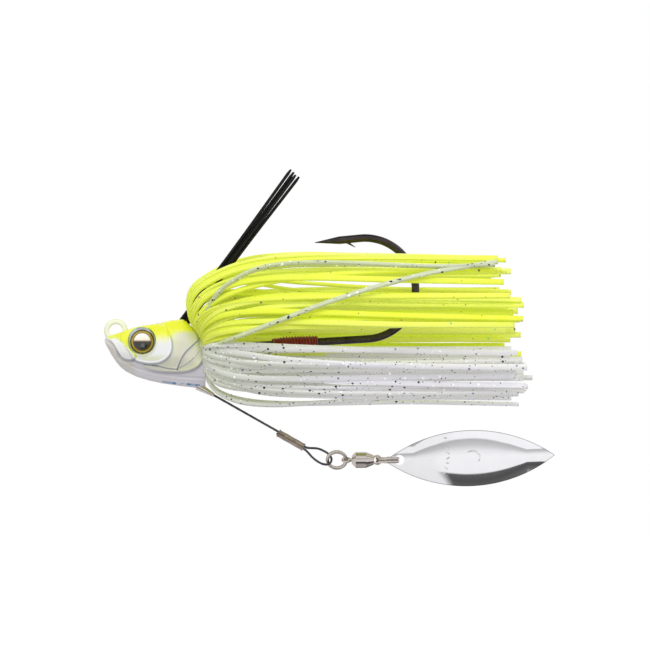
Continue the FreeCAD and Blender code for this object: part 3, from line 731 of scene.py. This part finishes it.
def strand_route(azimuth):
    """The route at any azimuth, between the two set ones beside it."""
    keys = sorted(ROUTES)
    azimuth = min(max(azimuth, keys[0]), keys[-1])
    upper = next(k for k in keys if k >= azimuth)
    lower = max(k for k in keys if k <= azimuth)
    share = (azimuth - lower) / max(upper - lower, 1)
    return np.array(ROUTES[lower], float) * (1 - share) + np.array(ROUTES[upper], float) * share


def strand(rng, side, azimuth, drift, reach, depth):
    """One strand: it leaves the collar, arches out and runs back, drifting round as it goes."""
    route = strand_route(azimuth)
    steps = np.linspace(0, 1, len(route))
    filled = 1 - depth * smooth_step(0.2, 0.85, steps)
    wave, sway = rng.uniform(-1, 1), rng.uniform(-1, 1)
    phase = rng.uniform(0, 2 * math.pi)
    points = []
    for (along, out), t, share in zip(route, steps, filled):
        turn = math.radians(azimuth + drift * smooth_step(0.15, 1.0, t)
                            + SWAY_DEG * sway * math.sin(4.2 * t + phase) * t)
        out = out * share + WAVE * wave * math.sin(6.0 * t + phase) * min(1, 2 * t)
        along = along + reach * smooth_step(0.6, 1.0, t)
        points.append(COLLAR + [along, side * math.sin(turn) * out, math.cos(turn) * out])
    outward = np.array([0.5, side * math.sin(math.radians(azimuth)),
                        math.cos(math.radians(azimuth))])
    return ribbon(rng, points, outward)


def ribbon(rng, points, outward, width=STRAND_WIDTH):
    """A flat strand along the points, whose cut-cornered section turns a little as it goes."""
    path = smooth_path(points, 64)
    twist = rng.uniform(-0.6, 0.6)
    start_twist = rng.uniform(-0.35, 0.35)

    def section(k, n):
        t = k / (n - 1)
        grow = 0.72 + 0.28 * smooth_step(0.0, 0.18, t)
        angle = start_twist + twist * t
        a, b = STRAND_DEPTH / 2 * grow, width / 2 * grow
        ring = []
        for up, over in ((1, 1), (-1, 1), (-1, -1), (1, -1)):
            pair = [(up * a, over * (b - STRAND_CORNER * a)),
                    (up * (a - STRAND_CORNER * a), over * b)]
            ring += pair if up == over else pair[::-1]
        ring = np.array(ring)
        c, s = math.cos(angle), math.sin(angle)
        return np.stack([ring[:, 0] * c - ring[:, 1] * s, ring[:, 0] * s + ring[:, 1] * c], 1)
    return sweep(path, section, outward)


def strand_group(name, node, material, strands, seed):
    """All the strands of one panel as one piece.

    A strand is the arguments of strand() or a path of its own.
    """
    rng = random.Random(seed)
    parts, tones = [], []
    for entry in strands:
        if isinstance(entry, tuple):
            part = strand(rng, *entry)
        else:
            part = ribbon(rng, entry, (0.3, entry[2][1], 2.0), CROSSING_WIDTH)
        parts.append(part)
        tones += [rng.random()] * len(part[0])
    points, faces = merge(parts)
    piece = mesh_object(name, points, faces)
    store(piece, "rest", "FLOAT_VECTOR", points * MM)
    store(piece, "tone", "FLOAT", tones)
    piece.data.materials.append(material)
    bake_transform(piece)
    if node:
        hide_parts(node)


def spread(rng, first, last, count):
    """Azimuths from first to last, each a little off its place."""
    gap = (last - first) / max(count - 1, 1)
    return [first + gap * k + rng.uniform(-0.3, 0.3) * gap for k in range(count)]


# Colours of the flakes, each from its share of them upward.
FEW_FLAKES = [(0.0, linear(70, 72, 60)), (0.3, linear(120, 126, 90)),
              (0.6, linear(214, 180, 90)), (0.8, linear(120, 200, 160))]
MANY_FLAKES = [(0.0, linear(26, 26, 34)), (0.42, linear(40, 40, 52)),
               (0.48, linear(118, 118, 150)), (0.66, linear(140, 140, 172)),
               (0.72, linear(255, 255, 255)), (1.0, linear(255, 255, 255))]


def make_skirt():
    """Both sides of the skirt. The near side leaves the hook's shank in view."""
    # Each material's third colour is its painted shade near the collar, and the number after the
    # flakes is its painted glow.
    yellow = silicone_material("yellow_silicone", linear(232, 240, 128), linear(222, 233, 50),
                               linear(206, 218, 60), FEW_FLAKES, 0.12, 0.10)
    pearl = silicone_material("pearl_silicone", linear(226, 224, 232), linear(208, 208, 203),
                              linear(176, 182, 154), MANY_FLAKES, 0.19, 0.8)
    sheer = silicone_material("sheer_silicone", linear(204, 210, 184), linear(186, 194, 160),
                              linear(186, 196, 130), MANY_FLAKES, 0.08, 1.0)
    for side, word in ((LEFT, "left"), (RIGHT, "right")):
        near = side == LEFT
        rng = random.Random(11 if near else 29)
        shared = random.Random(7)

        def lay(azimuths, drift, reach, depth, lowest=180):
            return [(side, a, min(rng.uniform(*drift), lowest - a), rng.uniform(*reach),
                     rng.uniform(*depth)) for a in azimuths]

        # Start and end points listed for the high, middle and low strands; nothing below uses
        # them.
        high = (0.0170, side * 0.001, -0.001), (0.0180, side * 0.003, 0.008)
        wide = (0.0172, side * 0.0015, -0.002), (0.0192, side * 0.0065, 0.0025)
        low = (0.0172, side * 0.003, -0.0034), (0.0215, side * 0.008, -0.006)

        top = [(side, a + shared.uniform(-1, 1), rng.uniform(-7, 10), rng.uniform(-4, 0.5),
                rng.uniform(0.0, 0.13)) for a in (11, 17, 21, 25, 31, 34, 38, 43)]
        if near:
            shoulder = lay(spread(rng, 46, 77, 12), (-14, 9), (-1.5, 2.3), (0.0, 0.22), 69)
            shoulder += lay(spread(rng, 22, 56, 6), (-8, 6), (-2, 2), (0.28, 0.45), 60)
        else:
            shoulder = lay(spread(rng, 46, 95, 19), (-7, 7), (-1.5, 2.3), (0.0, 0.22), 97)
            shoulder += lay(spread(rng, 22, 76, 6), (-8, 6), (-2, 2), (0.28, 0.45), 80)
            shoulder += lay(spread(rng, 87, 95, 4), (-2, 2), (-2, 1), (0.0, 0.3), 96)
        beside = lay(spread(rng, 86 if near else 94, 108, 7), (0, 12), (-1.8, 1.2), (0.0, 0.3))
        flank = lay(spread(rng, 110, 134, 7), (-9, 8), (-3.0, 1.2), (0.0, 0.22), 140)
        belly = lay((137, 140, 143, 163), (-4, 1), (-4, -1), (0, 0.06))
        crossing = [np.array(path) * (1, -side, 1) for path in CROSSING_PATHS]

        for number, (panel, slot, material, strands, (start, end)) in enumerate((
                ("top", "skirt_yellow", yellow, top, high),
                ("shoulder", "skirt_yellow", yellow, shoulder, wide),
                ("side", "skirt_pearl", pearl, beside, low),
                ("flank", "skirt_pearl", pearl, flank, low),
                ("belly", "skirt_pearl", pearl, belly, low),
                ("crossing", "skirt_pearl", sheer, crossing, wide))):
            name = f"skirt_{word}_{panel}"
            strand_group(name + "_strands", None if panel == "crossing" else name,
                         material, strands,
                         3 + 10 * number + side)


# ------------------------------ guard

def make_guard():
    """Four fibres side by side, each of which bends where it leaves the head."""
    material = guard_material()
    slope = math.radians(54.5)
    heading = np.array([math.cos(slope), 0, math.sin(slope)])
    across = np.array([math.sin(slope), 0, -math.cos(slope)])
    base = np.array([13.0, 0, 1.75])
    tips = [(33.25, 30.67), (33.8, 30.2), (34.15, 29.65), (34.8, 29.3)]

    def radius(t):
        return 0.31 * (1 - 0.35 * smooth_step(0.985, 1.0, t))
    for number, (tip_x, tip_z) in enumerate(tips, start=1):
        row = number - 2.5
        lean = np.array([0, 0.17 * (-1) ** number, 0])
        start = base + across * row * 0.5 + lean
        tip = np.array([tip_x, 0, tip_z]) + lean * 1.5
        middle = (start + tip) / 2 - across * 0.09 * row
        path = smooth_path([start - heading * 1.5, start, middle, tip], 40)
        points, faces = sweep(path, circle_section(radius, 14), (0, 1, 0))
        fibre = mesh_object(f"guard_fibre_{number}", points, faces)
        store(fibre, "rest", "FLOAT_VECTOR", points * MM)
        fibre.data.materials.append(material)
        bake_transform(fibre)
        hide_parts(f"weed_guard_fibre_{number}")


# ------------------------------ shank

SHANK_SLOPE = math.atan(0.06)
THREAD_START = np.array([29.8, 0.0, -2.588])
SHANK_AXIS = np.array([math.cos(SHANK_SLOPE), 0, math.sin(SHANK_SLOPE)])
SHANK_UP = np.array([-math.sin(SHANK_SLOPE), 0, math.cos(SHANK_SLOPE)])


def winding(rng, turns, length, base, thickness, start=0.0, wobble=0.05):
    """Thread wound round the shank."""
    count = int(turns * 22)
    t = np.linspace(0, 1, count)
    angle = 2 * math.pi * turns * t + start
    bulge = 0.12 * np.sin(math.pi * t)
    radius = base + bulge + wobble * np.array([rng.uniform(-1, 1) for _ in range(count)])
    kernel = np.hanning(7)
    radius = np.convolve(np.pad(radius, 3, mode="edge"), kernel / kernel.sum(), "valid")
    path = (THREAD_START + SHANK_AXIS * (t * length)[:, None]
            + SHANK_UP * (radius * np.cos(angle))[:, None]
            + np.array([0, 1.0, 0]) * (radius * np.sin(angle))[:, None])
    return sweep(path, circle_section(thickness, 7), SHANK_AXIS)


def make_thread():
    """An even layer of thread with a looser one over it."""
    rng = random.Random(5)
    parts = [winding(rng, 27, 8.5, 0.93, 0.17, wobble=0.02),
             winding(rng, 15, 8.3, 1.12, 0.15, start=1.0, wobble=0.10)]
    points, faces = merge(parts)
    thread = mesh_object("thread_windings", points, faces)
    thread.data.materials.append(thread_material())
    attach(thread, "head")
    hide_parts("thread_wrap")


# ------------------------------ arm

ARM_START = np.array([18.6, 0.0, -12.2])
ARM_PITCH = math.radians(29.5)
ARM_ROLL = math.radians(25.0)
ARM_U = np.array([math.cos(ARM_PITCH), 0, -math.sin(ARM_PITCH)])
ARM_V = np.array([math.sin(ARM_PITCH) * math.cos(ARM_ROLL), math.sin(ARM_ROLL),
                  math.cos(ARM_PITCH) * math.cos(ARM_ROLL)])
ARM_W = np.cross(ARM_U, ARM_V)
SLEEVE_START, SLEEVE_LENGTH = 14.15, 5.6

# The cable from the head along the arm, round its loop and back through the sleeve.
CABLE_ROUTE = [(-0.8, 0.0), (3.0, 0.0), (7.0, 0.0), (11.0, 0.0), (15.0, 0.0), (19.6, 0.0),
               (20.5, 0.12), (22.1, 0.95), (23.3, 1.15), (24.4, 1.1), (25.3, 0.65),
               (25.6, -0.1), (25.3, -0.85), (24.4, -1.3), (23.3, -1.35), (22.1, -1.15),
               (20.5, -0.6), (19.6, -0.5), (17.0, -0.5), (13.9, -0.5)]
CABLE_RADIUS, LAY_DEPTH, LAY_STRANDS = 0.213, 0.014, 6


def make_cable():
    """The cable, with the lay of its wires showing through the coat."""
    route = [ARM_START + ARM_U * u + ARM_V * v for u, v in CABLE_ROUTE]
    path = smooth_path(route, 420)

    def section(k, n):
        turns = np.linspace(0, 2 * math.pi, 24, endpoint=False)
        radius = CABLE_RADIUS + LAY_DEPTH * np.cos(LAY_STRANDS * (turns + 0.06 * k))
        return np.stack([radius * np.cos(turns), radius * np.sin(turns)], 1)
    points, faces = sweep(path, section, ARM_V)
    cable = mesh_object("arm_cable_strands", points, faces)
    store(cable, "rest", "FLOAT_VECTOR", points * MM)
    cable.data.materials.append(cable_material())
    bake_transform(cable)
    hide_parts("arm_cable")


def make_sleeve():
    """A double barrel crimp, flared at its ends and pressed in twice."""
    stations, around = 60, 64
    turns = np.linspace(0, 2 * math.pi, around, endpoint=False)
    across = np.cos(turns)
    barrels = np.sqrt(np.clip(1 - ((np.abs(across) - 0.5) / 0.5) ** 2, 0, 1))
    waist = 0.5 * (np.abs(across) < 0.5)
    rings = []
    for t in np.linspace(0, 1, stations):
        flare = 0.10 * (bell(t, 0, 0.05) + bell(t, 1, 0.05))
        press = 0.09 * (bell(t, 0.3, 0.1) + bell(t, 0.7, 0.1))
        v = (0.70 + flare + press * 0.6) * across
        w = (0.42 + flare - press) * np.sign(np.sin(turns)) * np.maximum(barrels, waist)
        centre = ARM_START + ARM_U * (SLEEVE_START + SLEEVE_LENGTH * t) - ARM_V * 0.25
        rings.append(centre + ARM_V * v[:, None] + ARM_W * w[:, None])
    sleeve = mesh_object("crimp_sleeve_pressed", np.vstack(rings), tube_faces(stations, around))
    sleeve.data.materials.append(metal("dull_nickel", linear(96, 82, 72), linear(190, 176, 166),
                                       0.16, 0.03))
    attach(sleeve, "arm")
    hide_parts("crimp_sleeve")


# ------------------------------ split ring

def make_split_ring():
    """Nearly two turns of flat wire that step from the lower coil to the upper one."""
    turns = 1.93
    t = np.linspace(0, 1, 260)
    angle = 2 * math.pi * turns * t + 2.2
    level = -0.29 + 0.58 * smooth_step(0.44, 0.60, t)
    radius = 2.0 + 0.02 * np.sin(angle * 3)
    path = np.stack([51.6 + radius * np.cos(angle), radius * np.sin(angle), -24.5 + level], 1)

    def section(k, n):
        turn = np.linspace(0, 2 * math.pi, 16, endpoint=False)
        ring = np.stack([np.cos(turn), np.sin(turn)], 1)
        grow = min(1.0, 0.55 + 0.45 * min(k, n - 1 - k) / 6)
        return 0.285 * grow * np.sign(ring) * np.abs(ring) ** 0.75
    points, faces = sweep(path, section, (0, 0, 1))
    ring = mesh_object("split_ring_coils", points, faces)
    ring.data.materials.append(bpy.data.materials["bright_nickel"])
    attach(ring, "split_ring")
    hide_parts("split_ring")


# ------------------------------ blade

def on_blade(x, z):
    """The point of the blade's convex face above (x, z)."""
    hit, place, _, _ = nodes["blade"].ray_cast(Vector((x * MM, -0.02, z * MM)), Vector((0, 1, 0)))
    return np.array(place) / MM if hit else np.array([x, -1.0, z])


def make_blade_marks():
    """Plain raised dashes across the blade and a crescent beside them."""
    parts = []
    for k in range(8):
        z = -20.3 - 0.95 * k
        x = 62.6 + 0.45 * math.cos((k - 3.5) * 0.6) + 0.012 * (k - 4) ** 2
        lean = 0.22 * math.sin(k * 1.9)
        ends = [(x - 0.32, z - lean), (x, z), (x + 0.32, z + lean)]
        path = smooth_path([on_blade(*end) for end in ends], 9)
        parts.append(sweep(path, circle_section(lambda t: 0.10 + 0.06 * math.sin(math.pi * t), 10),
                           (0, 1, 0)))
    crescent = []
    for k in range(9):
        turn = math.radians(-35 + 20 * k)
        crescent.append(on_blade(67.6 + 1.5 * math.cos(turn), -24.0 + 1.25 * math.sin(turn)))
    parts.append(sweep(smooth_path(crescent, 50),
                       circle_section(lambda t: 0.07 + 0.13 * math.sin(math.pi * t), 10),
                       (0, 1, 0)))
    points, faces = merge(parts)
    marks = mesh_object("blade_marks", points, faces)
    marks.data.materials.append(bpy.data.materials["blade_nickel"])
    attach(marks, "blade")


# ------------------------------ CAD nodes

def dress(node, material):
    """A CAD node keeps its shape and takes a material."""
    item = nodes[node]
    item.data.materials.clear()
    item.data.materials.append(material)
    item.data.polygons.foreach_set("use_smooth", [True] * len(item.data.polygons))
    item.data.set_sharp_from_angle(angle=math.radians(30))


def dress_cad_nodes():
    """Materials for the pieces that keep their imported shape."""
    nickel = metal("bright_nickel", linear(188, 178, 172), linear(226, 218, 212), 0.10, 0.02)
    steel = metal("keeper_steel", linear(150, 150, 152), linear(210, 210, 212), 0.25)
    dress("hook", hook_material())
    for node in ("swivel_front_ring", "swivel_stud", "swivel_barrel", "swivel_plug",
                 "arm_ferrule"):
        dress(node, nickel)
    for node in ("bearing_balls", "trailer_keeper"):
        dress(node, steel)
    dress("blade", blade_material())
    dress("skirt_collar", rubber_material())
    iris = iris_material(IRIS[0] + 0.06, IRIS[1] - 0.2)
    inner = metal("cable_end", linear(50, 48, 55), linear(90, 88, 96), 0.4)
    dress("cable_root", inner)
    dress("guard_root", inner)
    for side in ("left", "right"):
        dress(side + "_eye_foil", iris)
        dress(side + "_eye_lens", iris)


# ------------------------------ studio

def soft_box(name, place, aim, width, height, power):
    """An area light that bright metal doesn't mirror."""
    light = bpy.data.lights.new(name, "AREA")
    light.shape = "RECTANGLE"
    light.size, light.size_y = width, height
    light.energy = power
    item = bpy.data.objects.new(name, light)
    bpy.context.scene.collection.objects.link(item)
    item.visible_glossy = False
    item.location = place
    item.rotation_euler = (Vector(aim) - Vector(place)).to_track_quat("-Z", "Y").to_euler()


def make_world():
    """White to the eye, paler above than below, and banded where bright metal mirrors it."""
    world = bpy.data.worlds.new("studio")
    bpy.context.scene.world = world
    world.use_nodes = True
    m = Tree(world.node_tree)
    m.tree.nodes.clear()
    way = m.axes(m.add("ShaderNodeTexCoord").outputs["Generated"])
    height = m.remap(way["Z"], -1, 1, 0, 1)

    def bands(*stops):
        return m.ramp(height, *[(position, grey(value)) for position, value in stops])
    soft = bands((0.0, 0.60), (0.45, 0.64), (0.60, 0.80), (1.0, 0.95))
    upper = bands((0.0, 0.9), (0.52, 0.97), (0.58, 0.86), (0.64, 0.62), (0.705, 0.5),
                  (0.722, 0.98), (0.93, 1.0), (0.955, 0.3), (1.0, 0.22))
    lower = bands((0.0, 0.6), (0.07, 0.5), (0.12, 0.16), (0.22, 0.09), (0.29, 0.12),
                  (0.305, 1.0), (1.0, 1.0))
    lower = m.mix(m.remap(way["X"], -0.16, -0.09, 0, 1), grey(0.93), lower)
    banded = m.mix(1.0, upper, lower, "MULTIPLY")
    rays = m.add("ShaderNodeLightPath").outputs
    light = m.mix(rays["Is Glossy Ray"], soft, banded)
    background = m.add("ShaderNodeBackground")
    m.link(m.mix(rays["Is Camera Ray"], light, grey(1.0)), background.inputs["Color"])
    m.link(background.outputs[0], m.add("ShaderNodeOutputWorld").inputs["Surface"])


def make_stage():
    """A plain pale floor well below the lure, which its bright metal doesn't mirror."""
    make_world()
    half, level = 1.5, -0.12
    corners = [(x, y, level) for x, y in ((-half, -half), (half, -half), (half, half),
                                          (-half, half))]
    floor = mesh_object("floor", np.array(corners) / MM, [(0, 1, 2, 3)], smooth=False)
    m = Nodes("floor_paint")
    m.set(Base_Color=m.mix(m.noise(m.place(), 4.0), grey(0.93), grey(0.97)), Roughness=0.9,
          Specular_IOR_Level=0.0, Emission_Color=grey(1.0), Emission_Strength=0.45)
    floor.data.materials.append(m.material)
    floor.visible_glossy = False
    floor.visible_diffuse = False
    soft_box("key", (-0.10, -0.45, 0.42), (0.03, 0, 0), 0.34, 0.26, 1.6)
    soft_box("fill", (0.35, -0.40, 0.10), (0.04, 0, 0), 0.25, 0.25, 0.25)
    soft_box("rim", (0.05, 0.40, 0.35), (0.04, 0, 0), 0.40, 0.20, 0.6)


def make_camera():
    """A long lens level with the lure and square to its side."""
    frame_width, distance = 0.1235, 0.75
    camera = bpy.data.cameras.new("camera")
    camera.sensor_width = 36.0
    camera.lens = camera.sensor_width * distance / frame_width
    camera.clip_end = 10.0
    item = bpy.data.objects.new("camera", camera)
    bpy.context.scene.collection.objects.link(item)
    item.location = (0.03971, -distance, 0.00114)
    item.rotation_euler = (math.radians(90), 0, 0)
    bpy.context.scene.camera = item


make_camera()
make_stage()
dress_cad_nodes()
make_head()
make_neck()
make_skirt()
make_guard()
make_thread()
make_cable()
make_sleeve()
make_split_ring()
make_blade_marks()
bpy.context.scene.view_settings.view_transform = "Standard"
